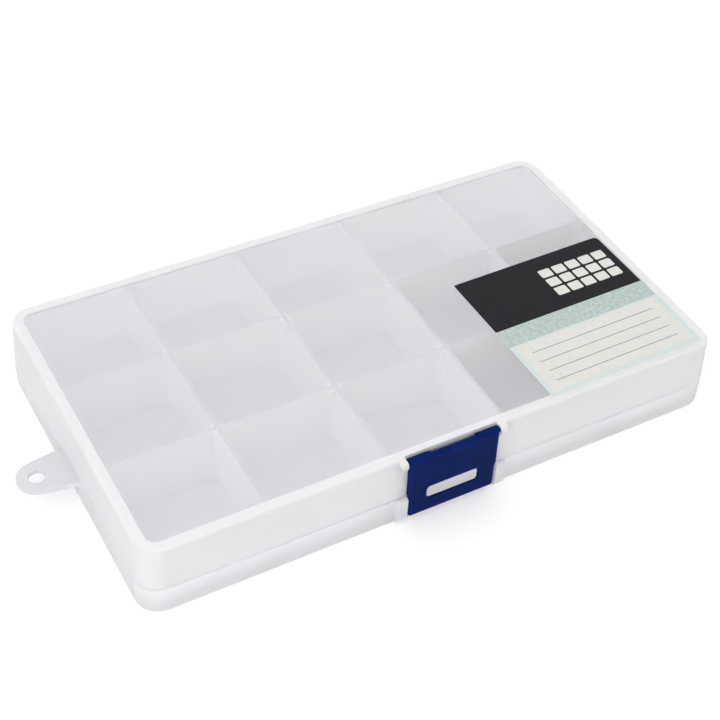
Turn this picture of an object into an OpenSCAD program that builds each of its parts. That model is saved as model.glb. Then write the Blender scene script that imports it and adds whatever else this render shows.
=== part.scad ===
// Flat compartment box for beads and other small crafts parts.
// A frosted base holds five columns of three compartments. One hinged lid closes
// over all of them, a blue latch snaps at the front, and a tab at the end hangs
// the box on a peg.
// Millimetres. The base stands on z = 0 with its underside centred on the origin.
// The long side runs along X, the latch faces -Y and the hinge is at +Y.

/* [Box] */
// Length of the closed box at the parting line
box_l = 176.8; // [165:0.2:190]
// Depth of the closed box at the parting line
box_d = 99.4; // [95:0.2:110]
// Height of the closed box
box_h = 23; // [21:0.5:28]
// Corner radius of the base
corner_r = 6.8; // [6:0.1:9]
// Height at which the lid's skirt meets the base
part_z = 9; // [8:0.5:10]
// Gap of the parting line
part_gap = 0.2; // [0.1:0.05:0.4]
// How far the lid's skirt leans in from its lower edge to the top
skirt_draft = 0.8; // [0.6:0.1:1]
// Radius of the lid's top edge
top_edge_r = 1; // [0.6:0.1:1.4]
// Radius of the base's bottom edge
foot_edge_r = 0.9; // [0.4:0.1:1.4]

/* [Walls] */
// Thickness of the lid's panel
panel_t = 1.3; // [1:0.1:1.8]
// Thickness of the lid's skirt
skirt_t = 1.1; // [1:0.1:1.4]
// Running gap between the lid's skirt and the base's standing wall
wall_gap = 0.25; // [0.2:0.05:0.4]
// Thickness of the standing wall at its foot
wall_t = 1.65; // [1.6:0.05:2]
// Thickness of the floor
floor_t = 1.6; // [1.2:0.1:2.4]

/* [Compartments] */
// Distance between the fixed partitions
column_pitch = 35; // [30:0.5:36]
// Thickness of a fixed partition
partition_t = 1.2; // [1:0.1:1.6]
// Thickness of a loose divider
divider_t = 1; // [0.8:0.1:1.2]
// How far a guide rib stands off its wall
rib_d = 1.6; // [1.2:0.1:2]
// Width of a guide rib
rib_w = 1.1; // [0.9:0.1:1.4]
// Play of a divider between its guide ribs, on each side
rib_play = 0.15; // [0.1:0.05:0.3]

/* [Latch] */
// Width of the latch
latch_w = 27.8; // [24:0.2:32]
// How far the latch's foot stands in front of the base
latch_proud = 1.8; // [1.7:0.1:2.2]
// How far the latch's plate leans back from its foot to its head
latch_lean = 0.75; // [0.4:0.05:0.8]
// Thickness of the latch's plate
latch_t = 1.35; // [1.2:0.05:1.4]
// Length of the slot that snaps over the catch
slot_l = 16.4; // [14:0.2:19]
// Height of the slot
slot_h = 4.6; // [4.2:0.1:5]
// Height of the slot's lower edge above the table
slot_z = 6.6; // [6:0.1:6.8]
// Corner radius of the slot
slot_r = 1.2; // [0.6:0.1:2]
// Radius of the latch's pivot pins
pivot_r = 0.8; // [0.7:0.05:0.85]
// Width of a cheek beside the latch
cheek_w = 2.5; // [2.2:0.1:3]

/* [Hinge] */
// Distance of each hinge from the middle of the box
hinge_x = 52; // [30:1:65]
// Radius of the hinge's pin bar
bar_r = 1.2; // [1:0.05:1.3]
// Outer radius of a hinge clip and of a lug's nose
knuckle_r = 2.4; // [2.3:0.05:2.5]
// Width of a hinge clip
clip_w = 9; // [7:0.5:14]
// Width of a hinge lug
lug_w = 2; // [1.6:0.1:3]

/* [Hang tab] */
// Distance of the tab's hole from the base's end wall
hole_out = 9.4; // [8.5:0.1:12]
// Radius of the tab's hole
hole_r = 2.2; // [1.8:0.1:2.8]
// Radius of the tab's round tip
tip_r = 5.5; // [5:0.1:6.5]
// Thickness of the tab
tab_t = 1.6; // [1.4:0.1:2.4]

/* [Label] */
// Length of the label along X
label_l = 51.5; // [30:0.5:60]
// Length of the label along Y
label_d = 51; // [30:0.5:60]
// Thickness of the label
label_t = 0.1; // [0.08:0.01:0.2]

/* [Hidden] */
columns = 5;
rows = 3;
dividers = columns * (rows - 1);

$fn = 48;
corner_steps = 10;                      // facets in a quarter of a rounded corner
edge_steps = 4;                         // facets in a quarter of a rounded edge
bite = 0.3;                             // how far a rib or lug runs into its wall
side_gap = 0.3;                         // sideways gap of the parts that swing
pin_run = 0.08;                         // radial clearance of a pin in its bore

frost = [0.85, 0.86, 0.91, 0.6];
frost_lid = [0.88, 0.89, 0.94, 0.4];
blue = [0.09, 0.17, 0.52];
paper = [0.93, 0.93, 0.91];

// Lid: its outside stands a hair inside the base's.
lid_l = box_l - 0.2;
lid_d = box_d - 0.2;
lid_r = corner_r - 0.1;
panel_z = box_h - panel_t;

// How far the lid's outside has leaned in at height z.
function lean(z) = skirt_draft * (z - part_z) / (box_h - part_z);

// Base: a band up to the parting line and a standing wall that the lid closes over.
band_z = part_z - part_gap;
wall_in = skirt_t + wall_gap;           // from the lid's outside to the wall's
wall_z = panel_z - 0.3;
inner_l = lid_l - 2 * (wall_in + wall_t);
inner_d = lid_d - 2 * (wall_in + wall_t);
inner_r = 3.4;
floor_r = 0.8;                          // fillet between the floor and the walls
row_pitch = (inner_d + divider_t) / rows;
divider_z = wall_z - 0.2;
divider_play = 0.2;
rib_z = divider_z - 0.4;
rib_lead = 0.8;                         // lead-in at the top of a guide rib

// Latch, its cheeks on the lid, and the catch and guards on the base
face_y = -box_d / 2 - latch_proud;
head_r = 1.4;
plate_y = face_y + latch_lean;          // the latch's face before it is turned
pivot_y = plate_y + head_r;
pivot_z = box_h - head_r;
pin_l = 1.3;
latch_foot = 1.8;
latch_turn = asin(latch_lean / (pivot_z - latch_foot));
latch_step = 0.4;                       // the plate narrows between the guards
latch_step_z = 10.2;
latch_edge_r = 1.3;
latch_corner_r = 1;
head_dip = 0.55;                        // flat between the ears of the head
head_dip_l = 14.4;
cheek_x = latch_w / 2 + side_gap;
cheek_z = pivot_z - 4.6;
catch_l = slot_l - 0.8;
catch_z = slot_z + 0.25;
catch_top = slot_z + slot_h - 0.4;
catch_d = latch_proud - 0.75;
catch_back = 0.2;                       // it clears the lid's skirt above the band
guard_x = latch_w / 2 - latch_step + side_gap;
guard_w = 3;
guard_foot = 1;
guard_top = part_z + 0.6;

// Hinge: the base's pin bars lie behind the parting line.
hinge_y = box_d / 2 + knuckle_r + 0.4;
hinge_z = part_z;
clip_mouth = 1.9;
mouth_angle = -60;
lug_x = clip_w / 2 + 0.4;

// Label
label_at = [58.4, -20.8];
label_turn = 0.8;
label_r = 0.6;

// Ring of points round a rounded rectangle at height z.
function ring(l, d, r, z) = [
    for (corner = [[1, 1, 0], [-1, 1, 90], [-1, -1, 180], [1, -1, 270]])
        for (i = [0 : corner_steps])
            let (a = corner[2] + 90 * i / corner_steps)
                [corner[0] * (l / 2 - r) + r * cos(a),
                 corner[1] * (d / 2 - r) + r * sin(a), z]
];

// The same ring drawn in by the inset s on every side.
function ring_in(l, d, r, s, z) = ring(l - 2 * s, d - 2 * s, r - s, z);

// Closed solid through rings of equal point counts, from the lowest one up.
module loft(rings) {
    n = len(rings[0]);
    last = len(rings) - 1;
    sides = [
        for (k = [0 : last - 1], i = [0 : n - 1])
            let (j = (i + 1) % n)
                [k * n + i, (k + 1) * n + i, (k + 1) * n + j, k * n + j]
    ];
    bottom = [for (i = [0 : n - 1]) i];
    top = [for (i = [n - 1 : -1 : 0]) last * n + i];
    polyhedron(points = [for (r = rings) each r], faces = concat(sides, [bottom, top]));
}

// Block of a rounded rectangle from z0 to z1 whose bottom edge is rounded.
module footed(l, d, r, z0, z1, edge) {
    loft(concat(
        [for (i = [0 : edge_steps])
            let (a = 90 * i / edge_steps)
                ring_in(l, d, r, edge * (1 - sin(a)), z0 + edge * (1 - cos(a)))],
        [ring(l, d, r, z1)]
    ));
}

// Extrudes a profile drawn in Y and Z over the length l along X, centred on x.
module along_x(x, l) {
    translate([x - l / 2, 0, 0])
        rotate([90, 0, 90])
            linear_extrude(l) children();
}

// Extrudes a profile drawn in X and Z over the depth d along Y, from y.
module along_y(y, d) {
    translate([0, y + d, 0])
        rotate([90, 0, 0])
            linear_extrude(d) children();
}

// Edges of column i, counted from 0: the end columns run out to the standing wall.
function column_left(i) =
    i == 0 ? -inner_l / 2 : (i - columns / 2) * column_pitch + partition_t / 2;
function column_right(i) = -column_left(columns - 1 - i);
function row_y(j) = (j - rows / 2) * row_pitch;

// Space of the compartments, open at the top.
module compartments() {
    over = 3;
    intersection() {
        footed(inner_l, inner_d, inner_r, floor_t, box_h, floor_r);
        for (i = [0 : columns - 1]) {
            x0 = column_left(i) - (i == 0 ? over : 0);
            x1 = column_right(i) + (i == columns - 1 ? over : 0);
            translate([(x0 + x1) / 2, 0, 0])
                footed(x1 - x0, inner_d + 2 * over, 1, floor_t, box_h, floor_r);
        }
    }
}

// Pair of guide ribs that stand off a wall at x = 0 towards +X.
module guide_pair() {
    for (side = [-1, 1])
        along_y(side * (divider_t / 2 + rib_play + rib_w / 2) - rib_w / 2, rib_w)
            polygon([
                [-bite, floor_t - bite],
                [rib_d, floor_t - bite],
                [rib_d, rib_z - 2 * rib_lead],
                [rib_d - rib_lead, rib_z],
                [-bite, rib_z]
            ]);
}

module guide_ribs() {
    for (i = [0 : columns - 1], j = [1 : rows - 1])
        translate([0, row_y(j), 0]) {
            translate([column_left(i), 0, 0]) guide_pair();
            translate([column_right(i), 0, 0]) mirror([1, 0, 0]) guide_pair();
        }
}

// Two lugs with a pin bar between them, behind the base's back wall.
module hinge_lugs(x) {
    reach = hinge_y - box_d / 2;
    low = hinge_z - reach - knuckle_r * sqrt(2);
    for (side = [-1, 1])
        along_x(x + side * (lug_x + lug_w / 2), lug_w) {
            translate([hinge_y, hinge_z]) circle(knuckle_r);
            polygon([
                [box_d / 2 - bite, low - bite],
                [hinge_y + knuckle_r * cos(45), hinge_z - knuckle_r * sin(45)],
                [hinge_y, hinge_z],
                [box_d / 2, band_z],
                [box_d / 2 - bite, band_z]
            ]);
        }
    along_x(x, 2 * lug_x + 2 * bite)
        translate([hinge_y, hinge_z]) circle(bar_r);
}

// Rectangle with round corners, centred on the origin.
module round_rect(w, h, r) {
    square([w - 2 * r, h], center = true);
    square([w, h - 2 * r], center = true);
    for (x = [-1, 1], y = [-1, 1])
        translate([x * (w / 2 - r), y * (h / 2 - r)]) circle(r);
}

// Tongue that the latch's slot snaps over: it fills the slot, stands in front of
// the lid's skirt above the band, and has a lead-in on top.
module catch_tongue() {
    wall_y = -box_d / 2;
    h = catch_top - catch_z;
    intersection() {
        along_x(0, catch_l)
            polygon([
                [wall_y + bite, catch_z],
                [wall_y - catch_d, catch_z],
                [wall_y - catch_d, catch_top - 0.4],
                [wall_y - catch_d + 0.4, catch_top],
                [wall_y - catch_back, catch_top],
                [wall_y - catch_back, band_z - 0.1],
                [wall_y + bite, band_z - 0.1]
            ]);
        along_y(wall_y - catch_d - 1, catch_d + 2)
            translate([0, catch_z + h / 2]) round_rect(catch_l, h, slot_r - 0.2);
    }
}

// Guard lug beside the latch's foot, with a round top that stands past the band.
module guard(side) {
    nose_r = 0.75;
    along_x(side * (guard_x + guard_w / 2), guard_w) {
        translate([face_y + nose_r, guard_top - nose_r]) circle(nose_r);
        translate([face_y, guard_foot + 1])
            square([2 * nose_r, guard_top - nose_r - guard_foot - 1]);
        polygon([
            [-box_d / 2 + bite, guard_foot],
            [face_y + 0.8, guard_foot],
            [face_y, guard_foot + 1.4],
            [face_y, band_z - 0.6],
            [-box_d / 2 + bite, band_z - 0.6]
        ]);
    }
}

module base() {
    foot_in = wall_in + lean(part_z);
    top_in = wall_in + lean(wall_z);
    color(frost)
        union() {
            difference() {
                union() {
                    footed(box_l, box_d, corner_r, 0, band_z, foot_edge_r);
                    loft([
                        ring_in(lid_l, lid_d, lid_r, foot_in, band_z - 1),
                        ring_in(lid_l, lid_d, lid_r, foot_in, part_z),
                        ring_in(lid_l, lid_d, lid_r, top_in, wall_z)
                    ]);
                }
                compartments();
            }
            guide_ribs();
            catch_tongue();
            for (side = [-1, 1]) {
                hinge_lugs(side * hinge_x);
                guard(side);
            }
        }
}

// Flat tongue on the base's end wall with a hole for a peg.
module hang_tab() {
    root_x = -box_l / 2;
    root_half = tip_r + 1.4;
    root_fillet = 2.5;
    hole_x = root_x - hole_out;
    color(frost)
        translate([0, 0, band_z - tab_t])
            linear_extrude(tab_t)
                difference() {
                    union() {
                        translate([hole_x, 0]) circle(tip_r);
                        polygon([
                            [hole_x, -tip_r],
                            [root_x, -root_half],
                            [root_x, root_half],
                            [hole_x, tip_r]
                        ]);
                        for (side = [-1, 1])
                            difference() {
                                translate([root_x - root_fillet, side < 0 ? -root_half - root_fillet : 0])
                                    square([root_fillet, root_half + root_fillet]);
                                translate([root_x - root_fillet, side * (root_half + root_fillet)])
                                    circle(root_fillet);
                            }
                    }
                    translate([hole_x, 0]) circle(hole_r);
                }
}

// Cheek beside the latch's head: round about the pivot, then back to the skirt.
module cheek(side) {
    along_x(side * (cheek_x + cheek_w / 2), cheek_w) {
        translate([pivot_y, pivot_z]) circle(head_r);
        polygon([
            [plate_y, pivot_z],
            [plate_y, pivot_z - 0.6],
            [-lid_d / 2 + lean(cheek_z) + bite, cheek_z],
            [-lid_d / 2 + skirt_t, cheek_z],
            [-lid_d / 2 + skirt_t, pivot_z + head_r - 0.6],
            [pivot_y, pivot_z + head_r]
        ]);
    }
}

// Clip that snaps on a pin bar of the base.
module hinge_clip(x) {
    root_y = lid_d / 2 - skirt_t / 2;
    arm_z = hinge_z + knuckle_r;
    along_x(x, clip_w)
        difference() {
            union() {
                translate([hinge_y, hinge_z]) circle(knuckle_r);
                polygon([
                    [root_y, part_z + 0.3],
                    [hinge_y, part_z + 0.3],
                    [hinge_y, arm_z],
                    [hinge_y - 0.6, arm_z],
                    [root_y, arm_z + 2.6]
                ]);
            }
            translate([hinge_y, hinge_z]) {
                circle(bar_r + pin_run);
                rotate(mouth_angle)
                    translate([0, -clip_mouth / 2])
                        square([knuckle_r + 1, clip_mouth]);
            }
        }
}

// Room for the latch's head at the top of the lid's front wall.
module head_recess() {
    recess_y = pivot_y + head_r + side_gap;
    recess_z = pivot_z - head_r - side_gap;
    translate([-cheek_x, face_y - 1, recess_z])
        cube([2 * cheek_x, recess_y - face_y + 1, box_h]);
}

// Blind bores of the cheeks, for the latch's pivot pins.
module pivot_bores() {
    for (side = [-1, 1])
        along_x(side * (cheek_x + pin_l / 2), pin_l + 2 * pin_run)
            translate([pivot_y, pivot_z]) circle(pivot_r + pin_run);
}

module lid() {
    edge_z = box_h - top_edge_r;
    color(frost_lid)
        difference() {
            union() {
                loft(concat(
                    [ring(lid_l, lid_d, lid_r, part_z)],
                    [for (i = [0 : edge_steps])
                        let (a = 90 * i / edge_steps)
                            ring_in(lid_l, lid_d, lid_r,
                                lean(edge_z) + top_edge_r * (1 - cos(a)),
                                edge_z + top_edge_r * sin(a))]
                ));
                for (side = [-1, 1]) {
                    cheek(side);
                    hinge_clip(side * hinge_x);
                }
            }
            loft([
                ring_in(lid_l, lid_d, lid_r, skirt_t + lean(part_z - 1), part_z - 1),
                ring_in(lid_l, lid_d, lid_r, skirt_t + lean(panel_z), panel_z)
            ]);
            head_recess();
            pivot_bores();
        }
}

// Plan of the latch between its sides: flat back, rounded front corners.
module latch_plan(w) {
    translate([-w / 2, plate_y + latch_edge_r])
        square([w, 2 * head_r - latch_edge_r]);
    translate([-w / 2 + latch_edge_r, plate_y])
        square([w - 2 * latch_edge_r, 2 * head_r]);
    for (side = [-1, 1])
        translate([side * (w / 2 - latch_edge_r), plate_y + latch_edge_r])
            circle(latch_edge_r);
}

// Front view of the latch's foot: rounded lower corners.
module latch_front() {
    w = latch_w - 2 * latch_step;
    for (side = [-1, 1])
        translate([side * (w / 2 - latch_corner_r), latch_foot + latch_corner_r])
            circle(latch_corner_r);
    translate([-w / 2 + latch_corner_r, latch_foot])
        square([w - 2 * latch_corner_r, latch_step_z - latch_foot]);
    translate([-w / 2, latch_foot + latch_corner_r])
        square([w, latch_step_z - latch_foot - latch_corner_r]);
}

// Latch with its plate upright: slot, round head with a flat between two ears, pins.
module upright_latch() {
    difference() {
        intersection() {
            along_x(0, latch_w) {
                translate([pivot_y, pivot_z]) circle(head_r);
                polygon([
                    [plate_y, pivot_z],
                    [plate_y, latch_foot + 0.7],
                    [plate_y + 0.4, latch_foot],
                    [plate_y + latch_t, latch_foot],
                    [plate_y + latch_t, pivot_z]
                ]);
            }
            union() {
                translate([0, 0, latch_step_z])
                    linear_extrude(box_h) latch_plan(latch_w);
                intersection() {
                    linear_extrude(latch_step_z + bite)
                        latch_plan(latch_w - 2 * latch_step);
                    along_y(plate_y, 2 * head_r) {
                        latch_front();
                        translate([-latch_w / 2, latch_step_z])
                            square([latch_w, bite]);
                    }
                }
            }
        }
        along_y(plate_y - 1, latch_t + 2)
            translate([0, slot_z + slot_h / 2]) round_rect(slot_l, slot_h, slot_r);
        along_x(0, head_dip_l)
            translate([pivot_y, pivot_z])
                rotate(45)
                    translate([head_r - head_dip, -2 * head_r]) square(4 * head_r);
    }
    for (side = [-1, 1])
        along_x(side * (latch_w / 2 + pin_l / 2 - bite), pin_l + 2 * bite)
            translate([pivot_y, pivot_z]) circle(pivot_r);
}

module latch() {
    color(blue)
        translate([0, pivot_y, pivot_z])
            rotate([-latch_turn, 0, 0])
                translate([0, -pivot_y, -pivot_z]) upright_latch();
}

// Loose divider i, counted from 1: column by column from the left, front row first.
module divider(i) {
    column = floor((i - 1) / (rows - 1));
    row = 1 + (i - 1) % (rows - 1);
    x0 = column_left(column) + divider_play;
    w = column_right(column) - divider_play - x0;
    r = 1.2;
    color(frost)
        translate([x0, 0, 0])
            along_y(row_y(row) - divider_t / 2, divider_t) {
                translate([0, floor_t + r]) square([w, divider_z - floor_t - r]);
                translate([r, floor_t]) square([w - 2 * r, divider_z - floor_t]);
                for (x = [r, w - r])
                    translate([x, floor_t + r]) circle(r);
            }
}

module label() {
    color(paper)
        translate([label_at[0], label_at[1], box_h])
            rotate(label_turn)
                linear_extrude(label_t) round_rect(label_l, label_d, label_r);
}

base();
hang_tab();
lid();
latch();
label();
for (i = [1 : dividers])
    divider(i);
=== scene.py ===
"""Looks of a flat frosted bead organizer box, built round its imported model.

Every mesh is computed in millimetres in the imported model's own frame and handed
to Blender in metres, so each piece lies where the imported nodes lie.
"""

import logging
import math
from dataclasses import dataclass
from enum import Enum
from typing import Callable

import bmesh
import bpy
import numpy as np
from mathutils import Matrix, Vector


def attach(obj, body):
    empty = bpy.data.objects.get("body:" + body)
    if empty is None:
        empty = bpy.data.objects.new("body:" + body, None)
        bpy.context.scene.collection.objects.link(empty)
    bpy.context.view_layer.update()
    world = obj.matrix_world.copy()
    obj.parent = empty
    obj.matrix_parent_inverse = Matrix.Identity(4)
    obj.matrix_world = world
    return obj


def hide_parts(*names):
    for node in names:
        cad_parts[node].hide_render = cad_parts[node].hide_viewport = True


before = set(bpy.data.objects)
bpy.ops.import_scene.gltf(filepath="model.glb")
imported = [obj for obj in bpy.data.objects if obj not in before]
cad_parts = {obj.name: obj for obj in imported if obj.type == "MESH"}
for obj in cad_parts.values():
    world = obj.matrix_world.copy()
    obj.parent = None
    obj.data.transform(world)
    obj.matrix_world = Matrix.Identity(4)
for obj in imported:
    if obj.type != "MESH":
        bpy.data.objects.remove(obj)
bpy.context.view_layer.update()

LOG = logging.getLogger("bead_box")
MM = 0.001
MERGED = 0.001 * MM  # points closer than this are one
SHARP = math.radians(32)  # faces that meet at more than this show an edge


class Axis(Enum):
    """Direction that a plane outline is pressed along, with its two drawing axes."""

    X = (1, 2, 0)
    Y = (0, 2, 1)
    Z = (0, 1, 2)


class Cut(Enum):
    """How a tool mesh changes the moulding that it meets."""

    AWAY = "DIFFERENCE"
    ON = "UNION"
    COMMON = "INTERSECT"


# ---------------------------------------------------------------- outlines


@dataclass(frozen=True)
class Outline:
    """Closed plane curve, counter-clockwise, with its outward normals."""

    points: np.ndarray
    normals: np.ndarray


def round_polygon(corners: list, radii: list, steps: int = 6) -> Outline:
    """A polygon whose corners are arcs.

    At each corner the arc touches both sides, r * tan(turn / 2) from the corner,
    and its normals turn evenly from one side's to the other's.

    Args:
        corners: The (m, 2) corner points, counter-clockwise.
        radii: One radius for each corner.
        steps: Segments in each arc.

    Returns:
        The outline, with steps + 1 points at each corner.
    """
    at = np.asarray(corners, float)
    r = np.broadcast_to(np.asarray(radii, float), (len(at),))[:, None]
    out = np.roll(at, -1, 0) - at
    out /= np.linalg.norm(out, axis=1, keepdims=True)
    into = np.roll(out, 1, 0)
    turn = np.arctan2(into[:, 0] * out[:, 1] - into[:, 1] * out[:, 0], (into * out).sum(1))
    sign = np.sign(turn)[:, None]
    left = np.stack([-into[:, 1], into[:, 0]], 1)
    centre = at - into * r * np.tan(np.abs(turn) / 2)[:, None] + sign * r * left
    angle = turn[:, None] * np.linspace(0, 1, steps + 1)
    cos, sin = np.cos(angle), np.sin(angle)
    spun = np.stack(
        [
            left[:, None, 0] * cos - left[:, None, 1] * sin,
            left[:, None, 0] * sin + left[:, None, 1] * cos,
        ],
        -1,
    )
    points = centre[:, None] - (sign * r)[:, None] * spun
    return Outline(points.reshape(-1, 2), -spun.reshape(-1, 2))


def round_rectangle(
    centre: tuple, length: float, depth: float, radius: float | list, steps: int = 12
) -> Outline:
    """A rectangle with round corners about a centre.

    Args:
        centre: The middle, in the plane's two axes.
        length: Size along the first axis.
        depth: Size along the second axis.
        radius: One radius, or four that start at the low corner.
        steps: Segments in each corner.

    Returns:
        The outline.
    """
    x, y, a, b = *centre, length / 2, depth / 2
    corners = [[x - a, y - b], [x + a, y - b], [x + a, y + b], [x - a, y + b]]
    return round_polygon(corners, radius, steps)


def circle(centre: tuple, radius: float, steps: int = 40) -> Outline:
    """A circle about a centre, as an outline of so many points."""
    angle = np.linspace(0, 2 * np.pi, steps, endpoint=False)
    normals = np.stack([np.cos(angle), np.sin(angle)], 1)
    return Outline(np.asarray(centre, float) + radius * normals, normals)


# ------------------------------------------------------------------ meshes


def grid_faces(rows: int, around: int) -> np.ndarray:
    """Quads of a grid of rows that closes on itself around, as an index array."""
    k, i = np.meshgrid(np.arange(rows - 1), np.arange(around), indexing="ij")
    j = (i + 1) % around
    low, high = k * around, (k + 1) * around
    return np.stack([low + i, low + j, high + j, high + i], -1).reshape(-1, 4)


def new_object(name: str, vertices: np.ndarray, faces: list) -> bpy.types.Object:
    """A mesh object from millimetres.

    Args:
        name: The object's name.
        vertices: The (n, 3) points in millimetres.
        faces: Lists of point numbers.

    Returns:
        The object, linked to the scene, at the origin.
    """
    mesh = bpy.data.meshes.new(name)
    mesh.from_pydata((np.asarray(vertices, float) * MM).tolist(), [], faces)
    mesh.validate()
    return linked(name, mesh)


def linked(name: str, data: bpy.types.ID) -> bpy.types.Object:
    """An object of a mesh, lamp or camera, in the scene's collection."""
    obj = bpy.data.objects.new(name, data)
    bpy.context.scene.collection.objects.link(obj)
    return obj


def loft(name: str, rings: np.ndarray) -> bpy.types.Object:
    """A closed solid through a stack of rings, with a flat cap on both ends.

    Args:
        name: The object's name.
        rings: A (k, n, 3) array, each ring counter-clockwise seen from the last one.

    Returns:
        The solid.
    """
    rows, around = rings.shape[:2]
    last = (rows - 1) * around
    caps = [list(range(around - 1, -1, -1)), list(range(last, last + around))]
    return new_object(name, rings.reshape(-1, 3), grid_faces(rows, around).tolist() + caps)


def quarter(radius: float, steps: int = 4) -> tuple:
    """A quarter round from side to end: how far it draws in and how far it rises."""
    angle = np.linspace(0, np.pi / 2, steps + 1)
    return radius * (1 - np.cos(angle)), radius * np.sin(angle)


def stack(outline: Outline, inset: np.ndarray, at: np.ndarray, axis: Axis) -> np.ndarray:
    """Rings of an outline, each drawn in by its inset and set at its place.

    Ring k is the outline's points less inset[k] times their normals, at at[k].

    Args:
        outline: The shape, drawn in the axis's two other directions.
        inset: The (k,) insets.
        at: The (k,) places along the axis.
        axis: The direction of the stack.

    Returns:
        The (k, n, 3) rings.
    """
    rings = np.empty((len(at), len(outline.points), 3))
    first, second, along = axis.value
    flat = outline.points[None] - np.asarray(inset)[:, None, None] * outline.normals[None]
    rings[..., first], rings[..., second] = flat[..., 0], flat[..., 1]
    rings[..., along] = np.asarray(at)[:, None]
    return rings


def pressed(
    name: str, outline: Outline, low: float, high: float, axis: Axis, edge: float
) -> bpy.types.Object:
    """A plate of an outline's shape whose edges are quarter rounds.

    The ring at height h is the outline drawn in by edge * (1 - cos a), where a
    runs from 0 to a right angle over the last stretch, edge long, at either end.

    Args:
        name: The object's name.
        outline: The shape, drawn in the axis's two other directions.
        low: Where the plate starts along the axis.
        high: Where it ends.
        axis: The direction that it is pressed along.
        edge: Radius of its edges.

    Returns:
        The plate.
    """
    draw, rise = quarter(edge)
    inset = np.concatenate([draw[::-1], draw])
    at = np.concatenate([low + edge - rise[::-1], high - edge + rise])
    return loft(name, stack(outline, inset, at, axis))


def tidy_mesh(obj: bpy.types.Object) -> None:
    """Merges doubles, turns the faces outwards and smooths all but sharp edges."""
    work = bmesh.new()
    work.from_mesh(obj.data)
    bmesh.ops.remove_doubles(work, verts=work.verts, dist=MERGED)
    bmesh.ops.dissolve_degenerate(work, edges=work.edges, dist=MERGED / 10)
    bmesh.ops.recalc_face_normals(work, faces=work.faces)
    work.to_mesh(obj.data)
    work.free()
    obj.data.shade_smooth()
    obj.data.set_sharp_from_angle(angle=SHARP)


def join(parts: list) -> bpy.types.Object:
    """One object that holds the meshes of several, which are removed."""
    work = bmesh.new()
    for part in parts:
        work.from_mesh(part.data)
        bpy.data.objects.remove(part)
    mesh = bpy.data.meshes.new("joined")
    work.to_mesh(mesh)
    work.free()
    return linked("joined", mesh)


def applied(obj: bpy.types.Object) -> None:
    """Puts the outcome of an object's modifiers into its mesh."""
    depsgraph = bpy.context.evaluated_depsgraph_get()
    made = bpy.data.meshes.new_from_object(obj.evaluated_get(depsgraph))
    obj.modifiers.clear()
    obj.data = made


def cut(obj: bpy.types.Object, tools: list, how: Cut) -> None:
    """Cuts tool meshes away from a moulding, or moulds them on it.

    Args:
        obj: The moulding, whose mesh is changed.
        tools: Objects that don't meet each other. They are removed.
        how: Away, on, or down to what they have in common.
    """
    tool = join(tools)
    tidy_mesh(tool)
    tidy_mesh(obj)
    modifier = obj.modifiers.new("cut", "BOOLEAN")
    modifier.object, modifier.operation, modifier.solver = tool, how.value, "EXACT"
    applied(obj)
    bpy.data.objects.remove(tool)


def weigh_normals(obj: bpy.types.Object) -> None:
    """Shades flat faces flat and rounds round, by weighing normals by face area."""
    modifier = obj.modifiers.new("weigh", "WEIGHTED_NORMAL")
    modifier.keep_sharp, modifier.weight = True, 100
    applied(obj)


# ---------------------------------------------------------------- finishes


def linear(hue: str) -> tuple:
    """Linear red, green, blue and alpha of an sRGB hex colour."""
    c = np.array([int(hue[i : i + 2], 16) for i in (1, 3, 5)]) / 255
    return (*np.where(c <= 0.04045, c / 12.92, ((c + 0.055) / 1.055) ** 2.4).tolist(), 1.0)


def per_mm(size: float) -> float:
    """Texture scale at which one feature of a pattern is so many millimetres wide."""
    return 1 / (size * MM)


def add_node(tree: bpy.types.NodeTree, kind: str, sockets: dict | None = None, **settings: object):
    """Adds a node with its settings, values and links.

    Args:
        tree: The node tree.
        kind: The node's type.
        sockets: Input name or number to a value, or to the output it is linked from.
        **settings: The node's own properties.

    Returns:
        The node.
    """
    node = tree.nodes.new(kind)
    for name, value in settings.items():
        setattr(node, name, value)
    for name, value in (sockets or {}).items():
        if isinstance(value, bpy.types.NodeSocket):
            tree.links.new(value, node.inputs[name])
        else:
            node.inputs[name].default_value = value
    return node


def new_material(name: str) -> bpy.types.Material:
    """An empty node material of a name."""
    material = bpy.data.materials.new(name)
    material.use_nodes = True
    material.node_tree.nodes.clear()
    return material


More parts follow.
